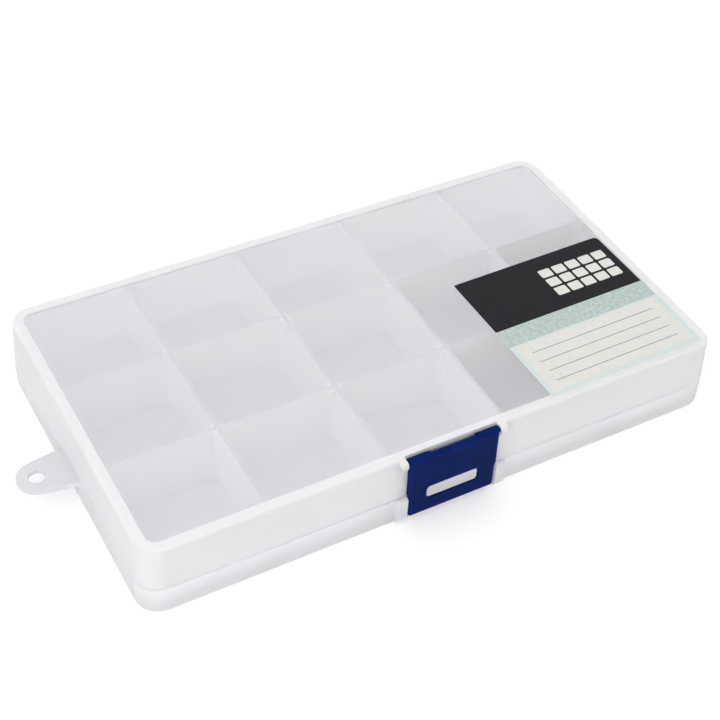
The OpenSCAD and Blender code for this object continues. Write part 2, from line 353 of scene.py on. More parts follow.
@dataclass(frozen=True)
class MouldedPlastic:
    """Injection-moulded polypropylene: what one grade and one tool finish look like, with a painted
    shade towards the floor where a floor hue is given.
    """

    name: str
    hue: str
    haze: str
    clearness: float
    gloss: float
    grain_mm: float
    grain_depth_mm: float
    flow_mm: float
    specular: float = 0.5
    sheen_spread: float = 0.05
    floor_shade_hue: str = ""
    floor_shade_mm: tuple = (1.7, 11.0)

    def material(self) -> bpy.types.Material:
        """Builds the material from slow flow marks and a fine tool grain, and from a painted shade
        that greys it towards the floor where a floor hue is given.
        """
        material = new_material(self.name)
        tree = material.node_tree
        place = add_node(tree, "ShaderNodeTexCoord").outputs["Object"]
        flow = add_node(
            tree,
            "ShaderNodeTexNoise",
            {"Vector": place, "Scale": per_mm(self.flow_mm), "Detail": 2.0, "Distortion": 0.6},
        ).outputs["Fac"]
        grain = add_node(
            tree,
            "ShaderNodeTexNoise",
            {"Vector": place, "Scale": per_mm(self.grain_mm), "Detail": 2.0},
        ).outputs["Fac"]
        tone = add_node(
            tree,
            "ShaderNodeMix",
            {"Factor": flow, "A": linear(self.hue), "B": linear(self.haze)},
            data_type="RGBA",
        )
        # Painted shade: below the given heights the colour turns to the greyer floor hue.
        if self.floor_shade_hue:
            rise = add_node(tree, "ShaderNodeSeparateXYZ", {"Vector": place}).outputs["Z"]
            low, high = self.floor_shade_mm
            above = add_node(
                tree,
                "ShaderNodeMapRange",
                {"Value": rise, "From Min": low * MM, "From Max": high * MM},
                interpolation_type="SMOOTHSTEP",
            )
            tone = add_node(
                tree,
                "ShaderNodeMix",
                {
                    "Factor": above.outputs["Result"],
                    "A": linear(self.floor_shade_hue),
                    "B": tone.outputs["Result"],
                },
                data_type="RGBA",
            )
        wear = add_node(
            tree,
            "ShaderNodeMapRange",
            {
                "Value": flow,
                "From Min": 0.3,
                "From Max": 0.7,
                "To Min": self.gloss - self.sheen_spread,
                "To Max": self.gloss + self.sheen_spread,
            },
        )
        relief = add_node(
            tree,
            "ShaderNodeBump",
            {"Height": grain, "Strength": 1.0, "Distance": self.grain_depth_mm * MM},
        )
        shader = add_node(
            tree,
            "ShaderNodeBsdfPrincipled",
            {
                "Base Color": tone.outputs["Result"],
                "Roughness": wear.outputs["Result"],
                "Normal": relief.outputs["Normal"],
                "IOR": 1.49,
                "Specular IOR Level": self.specular,
                "Transmission Weight": self.clearness,
            },
        )
        add_node(tree, "ShaderNodeOutputMaterial", {"Surface": shader.outputs["BSDF"]})
        return material


@dataclass(frozen=True)
class PrintedInk:
    """Flexographic ink on a film label: two tones, mottled, with a satin varnish."""

    name: str
    hue: str
    mottle: str
    mottle_mm: float
    contrast: float
    gloss: float

    def material(self) -> bpy.types.Material:
        """Builds the material from the ink's mottle."""
        material = new_material(self.name)
        tree = material.node_tree
        place = add_node(tree, "ShaderNodeTexCoord").outputs["Object"]
        mottle = add_node(
            tree,
            "ShaderNodeTexNoise",
            {"Vector": place, "Scale": per_mm(self.mottle_mm), "Detail": 4.0},
        ).outputs["Fac"]
        patch = add_node(
            tree,
            "ShaderNodeMapRange",
            {"Value": mottle, "From Min": 0.5 - self.contrast, "From Max": 0.5 + self.contrast},
        )
        tone = add_node(
            tree,
            "ShaderNodeMix",
            {"Factor": patch.outputs["Result"], "A": linear(self.hue), "B": linear(self.mottle)},
            data_type="RGBA",
        )
        shader = add_node(
            tree,
            "ShaderNodeBsdfPrincipled",
            {
                "Base Color": tone.outputs["Result"],
                "Roughness": self.gloss,
                "IOR": 1.49,
                "Specular IOR Level": 0.05,
            },
        )
        add_node(tree, "ShaderNodeOutputMaterial", {"Surface": shader.outputs["BSDF"]})
        return material


# Natural polypropylene from a vapour-honed tool: milky, see-through only close by,
# with soft broad highlights. The grain is drawn at 0.5 mm, coarser than the real one.
FROSTED_BASE = MouldedPlastic(
    "frosted_polypropylene_base", "#FBFBFC", "#F8F8F9", 0.5, 0.8, 0.5, 0.004, 16.0
)
# The tab is a bare thin plate; its colour is painted greyer than the base's, a painted shade.
FROSTED_TAB_PAINTED_SHADE = MouldedPlastic(
    "frosted_polypropylene_tab_painted_shade", "#ECEBEE", "#E8E7EB", 0.3, 0.8, 0.5, 0.004, 16.0
)
# The pockets' cores are honed; their floors carry a painted shade, a little greyer than the walls.
FROSTED_POCKET = MouldedPlastic(
    "frosted_polypropylene_pocket", "#FEFEFE", "#FDFDFE", 0.04, 0.8, 0.5, 0.004, 16.0,
    floor_shade_hue="#E8E8ED", floor_shade_mm=(1.65, 2.8),
)
# Top edges get a greyer copy of the plastic: a painted shade that tones down their brightness.
TOP_EDGE_PAINTED_SHADE = MouldedPlastic(
    "polypropylene_top_edge_painted_shade", "#EAEAEE", "#E6E6EB", 0.12, 0.7, 0.5, 0.004, 9.0
)
# The loose dividers are honed on both faces, with a painted shade that greys them a little towards
# the floor.
FROSTED_DIVIDER = MouldedPlastic(
    "frosted_polypropylene_divider", "#FEFEFE", "#FDFDFE", 0.08, 0.8, 0.5, 0.004, 9.0,
    floor_shade_hue="#F8F8FA", floor_shade_mm=(1.7, 14.0),
)
# The lid comes from a smoother tool: it is clearer and shows small bright highlights.
CLEAR_LID = MouldedPlastic(
    "semi_clear_polypropylene_lid", "#FEFEFE", "#FDFDFE", 0.78, 0.16, 0.6, 0.002, 24.0
)
# The lid's skirt has the base's honed finish, so the walls look alike when shut.
FROSTED_SKIRT = MouldedPlastic(
    "frosted_polypropylene_skirt", "#FBFBFC", "#F8F8F9", 0.5, 0.7, 0.5, 0.004, 18.0
)
# Round the panel the tool is honed again, and the wall behind it makes the rim whiter.
FROSTED_RIM = MouldedPlastic(
    "frosted_polypropylene_rim", "#FBFBFC", "#F9F9FA", 0.3, 0.6, 0.5, 0.004, 18.0
)
# Pigmented polypropylene from a polished tool: deep blue with a soft gloss, a little
# richer and darker by turns where the pigment has flowed.
BLUE_LATCH = MouldedPlastic(
    "blue_moulded_polypropylene", "#021646", "#072670", 0.0, 0.25, 0.8, 0.003, 11.0, specular=0.04
)
# The latch's flat face is polished further than its edges, and its blue is painted darker: a
# painted shade.
POLISHED_FACE_PAINTED_SHADE = MouldedPlastic(
    "blue_polished_polypropylene_painted_shade", "#02133E", "#061F5F", 0.0, 0.18, 0.8, 0.002, 11.0, specular=0.03
)
# Clear label film, seen as a thin grey-green margin round the print.
LABEL_FILM = MouldedPlastic(
    "clear_label_film", "#D8E2DF", "#CEDAD7", 0.0, 0.3, 0.7, 0.001, 5.0
)
# The back of the label is primed white, and sends light back into the box.
WHITE_BACKING = PrintedInk("white_label_primer", "#FCFCFC", "#FAFAFA", 1.5, 0.25, 0.6)
# Flexographic inks lie a little uneven, which shows as mottle, most of all in the mint.
BLACK_INK = PrintedInk("black_label_ink", "#26262A", "#2D2D30", 1.2, 0.3, 0.42)
MINT_INK = PrintedInk("mint_label_ink", "#AFBFBB", "#C3D0CC", 1.1, 0.12, 0.45)
WHITE_INK = PrintedInk("white_label_ink", "#E4E3DD", "#DCDBD5", 1.5, 0.25, 0.45)
RULE_INK = PrintedInk("grey_rule_ink", "#8E9694", "#A3AAA8", 0.5, 0.2, 0.45)


# ------------------------------------------------------------ sub-assemblies


@dataclass(frozen=True)
class Plan:
    """Sizes that the mouldings share, in millimetres."""

    length: float = 176.8
    depth: float = 99.4
    height: float = 23.0
    corner: float = 6.8
    parting: float = 9.0
    band_top: float = 8.9
    lid_step: float = 0.1
    draft: float = 0.8
    wall_in: float = 1.35
    wall_top: float = 21.4
    inner_length: float = 170.6
    inner_depth: float = 93.2
    inner_corner: float = 3.4
    floor: float = 1.6
    columns: int = 5
    pitch: float = 35.0
    partition: float = 1.2
    divider_y: tuple = (-15.7, 15.7)
    face_y: float = -51.5
    plate_y: float = -50.75
    pivot: tuple = (-49.35, 21.6)
    head: float = 1.4
    hinge: tuple = (52.5, 9.0)
    hinge_x: tuple = (-52.0, 52.0)
    knuckle: float = 2.4

    def footprint(self) -> Outline:
        """The box's outline at the parting line."""
        return round_rectangle((0, 0), self.length, self.depth, self.corner)

    def lean(self, z: np.ndarray | float) -> np.ndarray | float:
        """How far the lid's outside has leaned in at a height."""
        return self.draft * (z - self.parting) / (self.height - self.parting)

    def column(self, i: int) -> tuple:
        """Left and right side of a column, counted from 0."""
        left = (i - self.columns / 2) * self.pitch + self.partition / 2
        right = (i + 1 - self.columns / 2) * self.pitch - self.partition / 2
        end = self.inner_length / 2
        return (-end if i == 0 else left, end if i == self.columns - 1 else right)


@dataclass
class SubAssembly:
    """A group of pieces that ride on one body."""

    plan: Plan
    body: str = ""
    slot: str = ""

    def finish(
        self, obj: bpy.types.Object, name: str, look: bpy.types.Material, nodes: tuple
    ) -> None:
        """Names, shades and dresses a piece, and puts it on its body.

        Args:
            obj: The piece.
            name: Its name.
            look: Its material.
            nodes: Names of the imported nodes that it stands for.
        """
        tidy_mesh(obj)
        weigh_normals(obj)
        obj.name = obj.data.name = name
        obj.data.materials.clear()
        obj.data.materials.append(look)
        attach(obj, self.body)
        if nodes:
            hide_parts(*nodes)
        LOG.info("%s: %d faces", name, len(obj.data.polygons))

    def second_look(self, obj: bpy.types.Object, look: bpy.types.Material, where: Callable) -> None:
        """Gives some faces of a dressed piece a second material.

        Args:
            obj: The piece.
            look: The material.
            where: Takes the faces' centres in millimetres and their normals, as
                (n, 3) arrays, and returns which of them get it.
        """
        mesh = obj.data
        mesh.materials.append(look)
        centre, normal = np.empty((2, len(mesh.polygons) * 3))
        index = np.empty(len(mesh.polygons), np.int32)
        mesh.polygons.foreach_get("center", centre)
        mesh.polygons.foreach_get("normal", normal)
        mesh.polygons.foreach_get("material_index", index)
        index[where(centre.reshape(-1, 3) / MM, normal.reshape(-1, 3))] = len(mesh.materials) - 1
        mesh.polygons.foreach_set("material_index", index)


@dataclass
class Tray(SubAssembly):
    """Base of the box: band, standing wall, pockets, ribs, hinge lugs, catch and tab.

    The tab's root, neck and tip are half widths, in millimetres like all the rest.
    """

    body: str = "base"
    slot: str = "base_pp"
    foot_edge: float = 0.9
    small_edge: float = 0.08
    lip: float = 0.25
    floor_fillet: float = 0.8
    pocket_corner: float = 1.0
    rib_reach: float = 1.6
    rib_width: float = 1.1
    rib_offset: float = 1.2
    rib_top: float = 20.8
    lug_width: float = 2.0
    lug_x: float = 4.9
    bar: float = 1.2
    guard_x: float = 13.8
    guard_width: float = 3.0
    guard_top: float = 9.6
    catch_width: float = 15.6
    catch_bottom: float = 6.85
    catch_top: float = 10.8
    catch_face: float = -50.75
    catch_corner: float = 1.1
    hole: tuple = (-97.8, 0.0)
    hole_radius: float = 2.2
    hole_wall: float = 5.5
    tab_top: float = 8.75
    tab_bottom: float = 7.2
    tab_root: float = 9.7
    tab_neck: float = 6.9
    tab_tip: float = 4.68

    def shell(self) -> bpy.types.Object:
        """Outside: the footprint drawn in by a profile of inset against height."""
        plan = self.plan
        foot, foot_rise = quarter(self.foot_edge, 6)
        edge, edge_rise = quarter(self.small_edge, 3)
        lip, lip_rise = quarter(self.lip, 4)
        wall = np.array([plan.band_top, *(plan.wall_top - self.lip + lip_rise)])
        inset = np.concatenate(
            [
                foot[::-1],
                edge,
                plan.lid_step + plan.wall_in + plan.lean(wall) + np.array([0, *lip]),
            ]
        )
        height = np.concatenate(
            [
                self.foot_edge - foot_rise[::-1],
                plan.band_top - self.small_edge + edge_rise,
                wall,
            ]
        )
        return loft("tray", stack(plan.footprint(), inset, height, Axis.Z))

    def pocket(self, i: int) -> bpy.types.Object:
        """Space of a column: rounded at the floor and flared at the lip.

        Its inset is fillet * (1 - cos a) as the floor's fillet rises, and
        -lip * (1 - cos a) as the lip opens at the top.
        """
        plan = self.plan
        left, right = plan.column(i)
        small, big = self.pocket_corner, plan.inner_corner
        radii = [big if i == 0 else small] * 4
        last = big if i == plan.columns - 1 else small
        radii[1] = radii[2] = last
        outline = round_rectangle(
            ((left + right) / 2, 0), right - left, plan.inner_depth, radii, steps=8
        )
        fillet, rise = quarter(self.floor_fillet, 5)
        lip, lip_rise = quarter(self.lip, 4)
        inset = np.concatenate([fillet[::-1], -lip, [-self.lip]])
        height = np.concatenate(
            [
                plan.floor + self.floor_fillet - rise[::-1],
                plan.wall_top - self.lip + lip_rise,
                [plan.wall_top + 1],
            ]
        )
        return loft("pocket", stack(outline, inset, height, Axis.Z))

    def rib(self, x: float, side: int, y: float) -> bpy.types.Object:
        """Guide rib on a wall at x.

        Its nose reaches out by a length that shrinks with height over the lead-in,
        and its x is the wall's plus side times the drawn x, scaled by that length.
        """
        bite = 0.3
        run = self.rib_reach + bite
        outline = round_rectangle((self.rib_reach / 2 - bite / 2, 0), run, self.rib_width, 0.35, 5)
        top = self.rib_top
        height = np.array([self.plan.floor - bite, top - 1.6, top - 0.15, top])
        reach = np.array([self.rib_reach, self.rib_reach, 0.9, 0.75])
        inset = np.array([0, 0, 0, 0.12])
        rings = stack(outline, inset, height, Axis.Z)
        rings[..., 0] = x + side * ((rings[..., 0] + bite) * ((reach + bite) / run)[:, None] - bite)
        rings[..., 1] += y
        return loft("rib", rings)

    def ribs(self) -> list:
        """All guide ribs: a pair on each side of each divider."""
        return [
            self.rib(x, side, y + step * self.rib_offset)
            for i in range(self.plan.columns)
            for x, side in zip(self.plan.column(i), (1, -1))
            for y in self.plan.divider_y
            for step in (-1, 1)
        ]

    def lugs(self) -> list:
        """Hinge lugs: a round nose about the hinge's axis on a sloping root."""
        y, z = self.plan.hinge
        r, wall = self.plan.knuckle, self.plan.depth / 2
        slope = r * (1 - math.tan(math.pi / 8))
        corners = [
            (wall - 0.4, z - r - (y - wall) - r * 0.42 - 0.6),
            (y + r, z - r + slope),
            (y + r, z + r),
            (y - r, z + r),
            (y - r, self.plan.band_top - 0.05),
            (wall - 0.4, self.plan.band_top - 0.05),
        ]
        outline = round_polygon(corners, [0.3, r, r, r, 0.2, 0.3])
        return [
            pressed("lug", outline, at - self.lug_width / 2, at + self.lug_width / 2, Axis.X, 0.2)
            for x in self.plan.hinge_x
            for at in (x - self.lug_x - self.lug_width / 2, x + self.lug_x + self.lug_width / 2)
        ]

    def bars(self) -> list:
        """Pin bars between the lugs."""
        reach = self.lug_x + 0.3
        return [
            pressed("bar", circle(self.plan.hinge, self.bar), x - reach, x + reach, Axis.X, 0.1)
            for x in self.plan.hinge_x
        ]

    def guards(self) -> list:
        """Guard lugs beside the latch's foot."""
        face, wall = self.plan.face_y, -self.plan.depth / 2 + 0.35
        corners = [
            (wall, 1.0),
            (wall, self.plan.band_top - 0.6),
            (face + 1.5, self.plan.band_top - 0.6),
            (face + 1.5, self.guard_top),
            (face, self.guard_top),
            (face, 2.2),
            (face + 0.8, 1.0),
        ]
        outline = round_polygon(corners, [0.3, 0.3, 0.2, 0.72, 0.72, 0.5, 0.4])
        spans = [(self.guard_x, self.guard_x + self.guard_width)]
        spans += [(-high, -low) for low, high in spans]
        return [pressed("guard", outline, low, high, Axis.X, 0.25) for low, high in spans]

    def catch(self) -> bpy.types.Object:
        """Tongue behind the latch's slot, which rises past the band.

        It is the side view carried across, where that meets its rounded front view.
        """
        wall, face = -self.plan.depth / 2, self.catch_face
        corners = [
            (wall + 0.4, self.catch_bottom),
            (wall + 0.4, self.plan.band_top - 0.1),
            (wall - 0.22, self.plan.band_top - 0.1),
            (wall - 0.22, self.catch_top),
            (face, self.catch_top),
            (face, self.catch_bottom),
        ]
        outline = round_polygon(corners, [0.15, 0.15, 0.1, 0.2, 0.35, 0.15])
        half, rise = self.catch_width / 2, self.catch_top - self.catch_bottom
        tongue = pressed("catch", outline, -half, half, Axis.X, 0.15)
        front = round_rectangle(
            (0, self.catch_bottom + rise / 2), 2 * half, rise, self.catch_corner, steps=8
        )
        cut(tongue, [pressed("front", front, face - 1, wall + 1, Axis.Y, 0.1)], Cut.COMMON)
        return tongue

    def tab(self) -> bpy.types.Object:
        """Hang tab: a round tip that widens to a filleted root."""
        root, tip = -self.plan.length / 2 + 0.1, self.hole[0] - self.hole_wall
        corners = [
            (root + 0.8, -self.tab_root),
            (root + 0.8, self.tab_root),
            (root, self.tab_root),
            (root, self.tab_neck),
            (tip, self.tab_tip),
            (tip, -self.tab_tip),
            (root, -self.tab_neck),
            (root, -self.tab_root),
        ]
        outline = round_polygon(corners, [0.3, 0.3, 0.3, 2.3, 5.4, 5.4, 2.3, 0.3], steps=14)
        return pressed("tab", outline, self.tab_bottom, self.tab_top, Axis.Z, 0.25)

    def peg_hole(self) -> bpy.types.Object:
        """Hole of the tab, flared at both faces."""
        flare, rise = quarter(0.2, 4)
        inset = np.concatenate([[-0.2], -flare[::-1], -flare, [-0.2]])
        height = np.concatenate(
            [
                [self.tab_bottom - 1],
                self.tab_bottom + 0.2 - rise[::-1],
                self.tab_top - 0.2 + rise,
                [self.tab_top + 1],
            ]
        )
        return loft("hole", stack(circle(self.hole, self.hole_radius), inset, height, Axis.Z))

    def is_pocket(self, centre: np.ndarray, normal: np.ndarray) -> np.ndarray:
        """Which faces line the pockets."""
        reach = np.array([self.plan.inner_length, self.plan.inner_depth]) / 2 + 0.3
        return (np.abs(centre[:, :2]) < reach).all(1) & (centre[:, 2] > self.plan.floor - 0.1)

    def is_shaded_top_edge(self, centre: np.ndarray, normal: np.ndarray) -> np.ndarray:
        """Which faces are the top edges of the partitions and the wall, which get a painted shade.
        """
        return (centre[:, 2] > self.plan.wall_top - self.lip) & (normal[:, 2] > 0.3)

    def is_tab(self, centre: np.ndarray, normal: np.ndarray) -> np.ndarray:
        """Which faces are the hang tab's."""
        return centre[:, 0] < -self.plan.length / 2 - 0.05

    def build(self) -> None:
        """Moulds the tray as one piece, with its hang tab."""
        tray = self.shell()
        cut(tray, [self.pocket(i) for i in range(self.plan.columns)], Cut.AWAY)
        cut(tray, self.ribs() + self.lugs() + self.guards() + [self.catch(), self.tab()], Cut.ON)
        cut(tray, self.bars(), Cut.ON)
        cut(tray, [self.peg_hole()], Cut.AWAY)
        self.finish(tray, "tray", FROSTED_BASE.material(), ("base", "hang_tab"))
        # Painted shade on the pocket floors, from the pocket material's floor hue.
        self.second_look(tray, FROSTED_POCKET.material(), self.is_pocket)
        # Painted shade on the top edges of the partitions and the wall.
        self.second_look(tray, TOP_EDGE_PAINTED_SHADE.material(), self.is_shaded_top_edge)
        # Painted shade: the hang tab gets the greyer copy of the base plastic.
        self.second_look(tray, FROSTED_TAB_PAINTED_SHADE.material(), self.is_tab)


@dataclass
class Dividers(SubAssembly):
    """Ten loose plates that stand between the guide ribs."""

    body: str = "base"
    slot: str = "divider_pp"
    thickness: float = 1.0
    play: float = 0.2
    top: float = 21.2
    corner: float = 1.2

    def plate(self, column: int, y: float) -> bpy.types.Object:
        """One divider: a plate with round corners and eased edges."""
        left, right = self.plan.column(column)
        bottom = self.plan.floor + 0.03
        outline = round_rectangle(
            ((left + right) / 2, (bottom + self.top) / 2),
            right - left - 2 * self.play,
            self.top - bottom,
            self.corner,
            steps=8,
        )
        half = self.thickness / 2
        return pressed("divider", outline, y - half, y + half, Axis.Y, 0.22)

    def is_shaded_top_edge(self, centre: np.ndarray, normal: np.ndarray) -> np.ndarray:
        """Which faces are a plate's top edge, which gets a painted shade."""
        return (centre[:, 2] > self.top - 0.25) & (normal[:, 2] > 0.3)

    def build(self) -> None:
        """Builds the plates column by column, front row first."""
        look, edge = FROSTED_DIVIDER.material(), TOP_EDGE_PAINTED_SHADE.material()
        number = 0
        for column in range(self.plan.columns):
            for y in self.plan.divider_y:
                number += 1
                name = f"divider_{number}"
                plate = self.plate(column, y)
                # The plates' material carries a painted shade towards the floor.
                self.finish(plate, f"plate_{number}", look, (name,))
                # edge is the painted shade of the plates' top edges.
                self.second_look(plate, edge, self.is_shaded_top_edge)


@dataclass
class Lid(SubAssembly):
    """Lid: panel and skirt in one, latch cheeks at the front, clips at the back."""

    body: str = "lid"
    slot: str = "lid_pp"
    panel: float = 1.3
    skirt: float = 1.1
    top_edge: float = 1.0
    rim_edge: float = 0.08
    rim_width: float = 4.0
    cheek_x: float = 14.2
    cheek_width: float = 2.5
    cheek_bottom: float = 17.0
    bore: float = 0.88
    clip_width: float = 9.0
    clip_bore: float = 1.28
    mouth: float = 1.9
    mouth_turn: float = -60.0

    def outside(self) -> bpy.types.Object:
        """Leaning skirt, round top edge and level rim, as the footprint drawn in."""
        plan = self.plan
        rim, rim_rise = quarter(self.rim_edge, 3)
        top, top_rise = quarter(self.top_edge, 8)
        shoulder = plan.height - self.top_edge
        foot = plan.parting + self.rim_edge
        height = np.concatenate([foot - rim_rise[::-1], shoulder + top_rise])
        inset = np.concatenate([rim[::-1], top]) + plan.lid_step
        inset += plan.lean(np.minimum(height, shoulder))
        height, inset = np.append(height, plan.height), np.append(inset, self.rim_width)
        return loft("lid", stack(plan.footprint(), inset, height, Axis.Z))

    def inside(self) -> bpy.types.Object:
        """Space under the panel, with a fillet where the skirt meets it."""
        plan = self.plan
        fillet, rise = quarter(0.45, 5)
        under = plan.height - self.panel
        height = np.concatenate([[plan.parting - 1], under - 0.45 + rise])
        inset = plan.lid_step + self.skirt + plan.lean(height) + np.array([0, *fillet])
        height, inset = np.append(height, under), np.append(inset, self.rim_width)
        return loft("inside", stack(plan.footprint(), inset, height, Axis.Z))

    def cheeks(self) -> list:
        """Cheeks beside the latch's head: round about its pivot, then back to the skirt."""
        (y, z), head = self.plan.pivot, self.plan.head
        wall = -self.plan.depth / 2 + self.plan.lid_step
        low, back = wall + self.plan.lean(self.cheek_bottom), wall + self.skirt + 1.0
        corners = [
            (y - head, z - 0.6),
            (low + 0.3, self.cheek_bottom),
            (back, self.cheek_bottom),
            (back, z + head - 0.4),
            (y, z + head),
            (y - head, z + head),
        ]
        outline = round_polygon(corners, [0.5, 0.4, 0.4, 0.4, 0.4, head - 0.1])
        low, high = self.cheek_x, self.cheek_x + self.cheek_width
        return [
            pressed("cheek", outline, a, b, Axis.X, 0.28) for a, b in ((low, high), (-high, -low))
        ]

    def at_hinges(self, name: str, outline: Outline, reach: float, edge: float) -> list:
        """A shape pressed along x by a reach to both sides of each hinge."""
        return [
            pressed(name, outline, x - reach, x + reach, Axis.X, edge) for x in self.plan.hinge_x
        ]

    def clips(self) -> list:
        """Hinge clips before their mouths are cut."""
        y, z = self.plan.hinge
        r, root = self.plan.knuckle, self.plan.depth / 2 - 0.65
        corners = [
            (root, z + 0.3),
            (y - r, z + 0.3),
            (y - r, z - r),
            (y + r, z - r),
            (y + r, z + r),
            (y - 0.6, z + r),
            (root, z + r + 2.6),
        ]
        outline = round_polygon(corners, [0.3, 0.2, r, r, r, 1.0, 0.3])
        return self.at_hinges("clip", outline, self.clip_width / 2, 0.25)

    def clip_bores(self) -> list:
        """Round seats of the pin bars."""
        seat = circle(self.plan.hinge, self.clip_bore)
        return self.at_hinges("seat", seat, self.clip_width / 2 + 1, 0.05)

    def clip_mouths(self) -> list:
        """Slits through which the clips snap on the bars."""
        turn = math.radians(self.mouth_turn)
        along = np.array([math.cos(turn), math.sin(turn)])
        across = np.array([-along[1], along[0]])
        drawn = np.array([(0.2, -0.5), (4, -0.5), (4, 0.5), (0.2, 0.5)])
        corners = drawn[:, :1] * along + drawn[:, 1:] * self.mouth * across
        outline = round_polygon(corners + self.plan.hinge, 0.1, 2)
        return self.at_hinges("mouth", outline, self.clip_width / 2 + 1, 0.05)

    def head_recess(self) -> bpy.types.Object:
        """Room for the latch's head."""
        gap = 0.3
        y = self.plan.pivot[0] + self.plan.head + gap
        z = self.plan.pivot[1] - self.plan.head - gap
        corners = [(y - 5, z), (y, z), (y, z + 6), (y - 5, z + 6)]
        half = self.cheek_x
        return pressed("recess", round_polygon(corners, 0.3), -half, half, Axis.X, 0.05)

    def pivot_bores(self) -> list:
        """Blind bores of the cheeks."""
        low, high = self.cheek_x - 0.5, self.cheek_x + 1.38
        bore = circle(self.plan.pivot, self.bore, 28)
        return [pressed("bore", bore, a, b, Axis.X, 0.1) for a, b in ((low, high), (-high, -low))]

    def is_level(self, centre: np.ndarray, normal: np.ndarray) -> np.ndarray:
        """Which faces are the top's level ones, above and below."""
        under = self.plan.height - self.panel - 0.2
        return (centre[:, 2] > under) & (np.abs(normal[:, 2]) > 0.75)

    def is_panel(self, centre: np.ndarray, normal: np.ndarray) -> np.ndarray:
        """Which of the level faces lie inside the rim."""
        reach = np.array([self.plan.length, self.plan.depth]) / 2 - self.rim_width - 3.5
        return self.is_level(centre, normal) & (np.abs(centre[:, :2]) < reach).all(1)

    def build(self) -> None:
        """Moulds the lid as one piece."""
        lid = self.outside()
        cut(lid, self.cheeks() + self.clips(), Cut.ON)
        cut(lid, [self.inside()], Cut.AWAY)
        cut(lid, [self.head_recess(), *self.clip_bores()], Cut.AWAY)
        cut(lid, self.clip_mouths() + self.pivot_bores(), Cut.AWAY)
        self.finish(lid, "lid_shell", FROSTED_SKIRT.material(), ("lid",))
        self.second_look(lid, FROSTED_RIM.material(), self.is_level)
        self.second_look(lid, CLEAR_LID.material(), self.is_panel)


@dataclass
class Latch(SubAssembly):
    """Snap latch: a plate with a slot, hung by two pins in its round head."""

    body: str = "latch"
    slot: str = "latch_pp"
    width: float = 27.8
    foot_width: float = 27.0
    foot: float = 1.8
    plate: float = 1.35
    front_edge: float = 1.1
    slot_width: float = 16.4
    slot_height: float = 4.6
    slot_bottom: float = 6.6
    slot_corner: float = 1.2
    dip_width: float = 14.4
    dip: float = 0.55
    pin: float = 0.8
    pin_length: float = 1.3

    def section(self) -> bpy.types.Object:
        """Side view carried across the width: thin plate, round head."""
        face, z = self.plan.plate_y, self.plan.pivot[1]
        r, back = self.plan.head, face + self.plate
        corners = [
            (face, self.foot),
            (back, self.foot),
            (back, z - r),
            (face + 2 * r, z - r),
            (face + 2 * r, z + r),
            (face, z + r),
        ]
        outline = round_polygon(corners, [0.4, 0.35, 0.15, 1.05, r, r], steps=10)
        half = self.width / 2
        return pressed("latch", outline, -half, half, Axis.X, 0.3)

    def front(self) -> bpy.types.Object:
        """Front view carried from the face back: it narrows between the guards."""
        top, foot = self.width / 2, self.foot_width / 2
        right = [(foot, self.foot), (foot, 9.55), (top, 10.35), (top, 27)]
        corners = right + [(-x, z) for x, z in right[::-1]]
        radii = [1.2, 0.8, 1.2, 1.2]
        outline = round_polygon(corners, radii + radii[::-1], steps=8)
        face = self.plan.plate_y
        return pressed("front", outline, face, face + 8, Axis.Y, self.front_edge)

    def slot_hole(self) -> bpy.types.Object:
        """Slot whose edges are rounded at the face and at the back."""
        outline = round_rectangle(
            (0, self.slot_bottom + self.slot_height / 2),
            self.slot_width,
            self.slot_height,
            self.slot_corner,
            steps=8,
        )
        face, back = self.plan.plate_y, self.plan.plate_y + self.plate
        flare, rise = quarter(0.3, 4)
        inset = np.concatenate([[-0.3], -flare[::-1], -flare * 0.7, [-0.21]])
        front, rear = face + 0.3 - rise[::-1], back - 0.21 + 0.7 * rise
        at = np.concatenate([[face - 1], front, rear, [back + 1]])
        return loft("slot", stack(outline, inset, at, Axis.Y))

    def head_dip(self) -> bpy.types.Object:
        """Flat between the head's two ears, facing up and back."""
        near, far = self.plan.head - self.dip, 4.0
        drawn = np.array([(near, -far), (far, -far), (far, far), (near, far)])
        half_turn = math.sqrt(0.5)
        turned = drawn @ np.array([[half_turn, half_turn], [-half_turn, half_turn]])
        outline = round_polygon(np.array(self.plan.pivot) + turned, 0.2, 4)
        half = self.dip_width / 2
        return pressed("dip", outline, -half, half, Axis.X, 0.2)

    def pins(self) -> list:
        """Pivot pins at both ends of the head."""
        low, high = self.width / 2 - 0.5, self.width / 2 + self.pin_length
        pin = circle(self.plan.pivot, self.pin, 28)
        return [pressed("pin", pin, a, b, Axis.X, 0.15) for a, b in ((low, high), (-high, -low))]

    def leaning(self) -> Matrix:
        """Turn about the pivot that brings the upright plate's foot out to the face."""
        y, z = self.plan.pivot
        back = self.plan.plate_y - self.plan.face_y
        at = Matrix.Translation(Vector((0, y, z)) * MM)
        turn = Matrix.Rotation(-math.asin(back / (z - self.foot)), 4, "X")
        return at @ turn @ at.inverted()

    def is_face(self, centre: np.ndarray, normal: np.ndarray) -> np.ndarray:
        """Which faces are the plate's flat front."""
        return normal[:, 1] < -0.995

    def build(self) -> None:
        """Moulds the latch as one piece, upright, leans it back, polishes its face and paints shade
        on it.
        """
        latch = self.section()
        cut(latch, [self.front()], Cut.COMMON)
        cut(latch, [self.slot_hole(), self.head_dip()], Cut.AWAY)
        cut(latch, self.pins(), Cut.ON)
        latch.data.transform(self.leaning())
        self.finish(latch, "latch_plate", BLUE_LATCH.material(), ("latch",))
        # Painted shade: the flat face gets a darker blue than the edges.
        self.second_look(latch, POLISHED_FACE_PAINTED_SHADE.material(), self.is_face)


